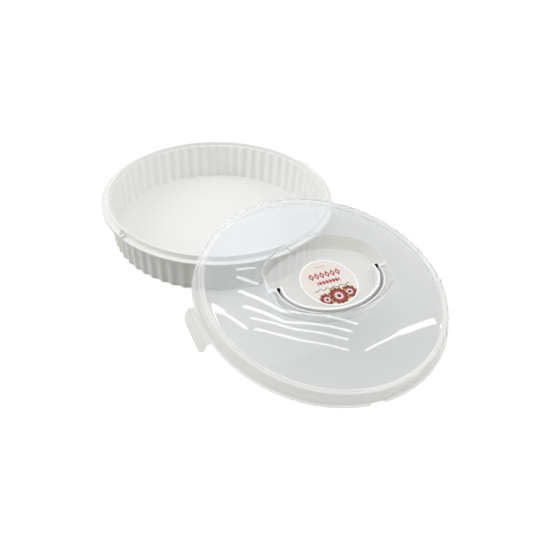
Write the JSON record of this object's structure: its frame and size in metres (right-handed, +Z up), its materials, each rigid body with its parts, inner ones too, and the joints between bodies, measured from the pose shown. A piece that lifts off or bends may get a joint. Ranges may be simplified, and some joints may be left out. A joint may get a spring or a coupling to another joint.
{
  "type": "cake carrier",
  "caption": "Round fluted tray with a clear domed lid that leans on its rim, a folding handle in the lid's recess and two side clips.",
  "frame": {"origin": "centre of the tray's flat underside, on the table", "axes": "+Z up; the lid leans towards +X and -Y"},
  "size_m": [0.4596, 0.4985, 0.0882],
  "materials": {
    "white_plastic": "satin white plastic",
    "handle_plastic": "satin white plastic",
    "clear_plastic": "cloudy clear plastic",
    "label_film": null
  },
  "bodies": {
    "tray": {"tray_floor": "white_plastic", "tray_wall": "white_plastic", "tray_rim": "white_plastic"},
    "lid": {"lid_skirt": "clear_plastic", "lid_dome": "clear_plastic", "recess_wall": "clear_plastic", "recess_floor": "clear_plastic", "hinge_web_left": "clear_plastic", "hinge_web_right": "clear_plastic", "label": "label_film"},
    "handle": {"carry_handle": "handle_plastic"},
    "clip_l": {"clip_left": "clear_plastic"},
    "clip_r": {"clip_right": "clear_plastic"}
  },
  "joints": [
    {"name": "lid_lift", "type": "slide", "parent": "tray", "child": "lid", "axis": [0, 0, 1], "range_m": [0, 0.15]},
    {"name": "handle_swing", "type": "hinge", "parent": "lid", "child": "handle", "pos_m": [0.14814, -0.19002, 0.06386], "axis": [-0.8781, -0.4771, 0.0358], "range_deg": [0, 180]},
    {"name": "clip_left_flap", "type": "hinge", "parent": "lid", "child": "clip_l", "pos_m": [0.00738, -0.2576, 0.04013], "axis": [-0.4602, 0.8627, 0.2097], "range_deg": [-17, 68]},
    {"name": "clip_right_flap", "type": "hinge", "parent": "lid", "child": "clip_r", "pos_m": [0.27959, -0.1097, 0.02902], "axis": [0.4602, -0.8627, -0.2097], "range_deg": [-17, 68]}
  ]
}
